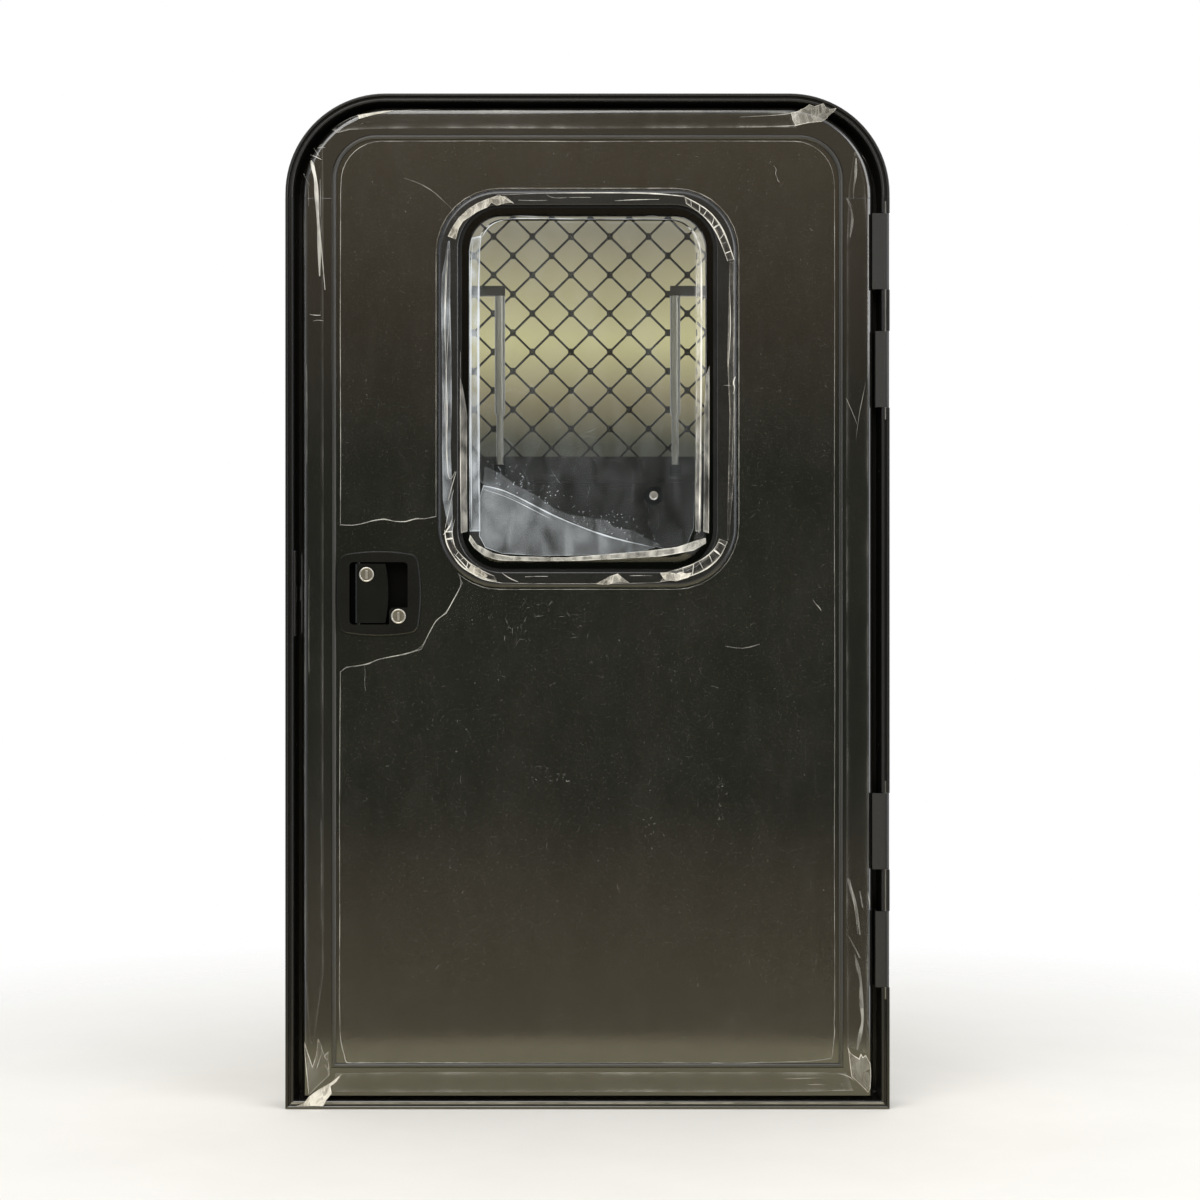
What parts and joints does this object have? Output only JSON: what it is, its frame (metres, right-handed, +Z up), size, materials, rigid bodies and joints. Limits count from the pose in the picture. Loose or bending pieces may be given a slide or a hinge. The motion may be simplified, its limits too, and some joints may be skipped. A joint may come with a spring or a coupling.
{
  "type": "caravan entry door",
  "caption": "Low caravan entry door in an extruded frame with rounded top corners, an acrylic window, a flush paddle lock and an inner diamond grille screen on the same hinges.",
  "frame": {"origin": "middle of the sill flange's back face, on the plane of the wall's outside", "axes": "+X to the hinge side (right seen from outside), -Y to the outside, +Z up"},
  "size_m": [0.7, 0.064, 1.1761],
  "materials": {
    "frame_black": "satin black coat",
    "seal_rubber": "matt",
    "pin_steel": "plain",
    "screen_black": "satin black coat",
    "grille_black": "satin black coat",
    "sheet_black": "satin black coat",
    "hatch_black": "matt",
    "hinge_black": "satin black coat",
    "leaf_black": "satin black coat",
    "bead_black": "gloss",
    "skin_charcoal": "gloss",
    "lining_black": "matt",
    "window_black": "satin",
    "pane_clear": "clear acrylic",
    "stay_grey": "satin",
    "latch_black": "satin",
    "lock_black": "fine grain",
    "paddle_black": "fine grain",
    "key_nickel": "nickel plate"
  },
  "bodies": {
    "frame": {"frame_left_jamb": "frame_black", "frame_right_jamb": "frame_black", "frame_head": "frame_black", "frame_sill": "frame_black", "frame_seal": "seal_rubber", "lower_hinge_pin": "pin_steel", "upper_hinge_pin": "pin_steel", "strike_plate": "pin_steel"},
    "screen": {"screen_left_stile": "screen_black", "screen_right_stile": "screen_black", "screen_head_rail": "screen_black", "screen_bottom_rail": "screen_black", "screen_mid_rail": "screen_black", "screen_grille": "grille_black", "screen_sheet": "sheet_black", "screen_hatch": "hatch_black", "screen_hatch_rails": "screen_black", "screen_hinge_leaf_lower": "hinge_black", "screen_hinge_leaf_upper": "hinge_black"},
    "door": {"door_left_stile": "leaf_black", "door_right_stile": "leaf_black", "door_head_rail": "leaf_black", "door_bottom_rail": "leaf_black", "panel_bead": "bead_black", "outer_skin": "skin_charcoal", "inner_panel": "lining_black", "window_outer_frame": "window_black", "window_inner_trim": "window_black", "window_seal": "seal_rubber", "window_pane": "pane_clear", "window_stay_left": "stay_grey", "window_stay_right": "stay_grey", "window_latch_left": "latch_black", "window_latch_right": "latch_black", "lock_housing": "lock_black", "lock_inner_plate": "lock_black", "lock_edge_plate": "pin_steel", "door_hinge_leaf_lower": "hinge_black", "door_hinge_leaf_upper": "hinge_black"},
    "paddle": {"paddle": "paddle_black"},
    "paddle_key": {"paddle_key_plug": "key_nickel"},
    "deadbolt_key": {"deadbolt_key_plug": "key_nickel"}
  },
  "joints": [
    {"name": "screen_hinge", "type": "hinge", "parent": "frame", "child": "screen", "pos_m": [0.34535, -0.0082, 0.6], "axis": [0, 0, 1], "range_deg": [0, 180]},
    {"name": "door_hinge", "type": "hinge", "parent": "screen", "child": "door", "pos_m": [0.34535, -0.0082, 0.6], "axis": [0, 0, 1], "range_deg": [0, 180]},
    {"name": "paddle_pull", "type": "hinge", "parent": "door", "child": "paddle", "pos_m": [-0.26535, -0.008, 0.59225], "axis": [0, 0, -1], "range_deg": [0, 30], "stiffness_Nm_per_rad": 0.4},
    {"name": "paddle_key_turn", "type": "hinge", "parent": "paddle", "child": "paddle_key", "pos_m": [-0.25605, -0.011, 0.61415], "axis": [0, 1, 0], "range_deg": [0, 90]},
    {"name": "deadbolt_key_turn", "type": "hinge", "parent": "door", "child": "deadbolt_key", "pos_m": [-0.21895, -0.012, 0.56575], "axis": [0, 1, 0], "range_deg": [0, 90]}
  ]
}
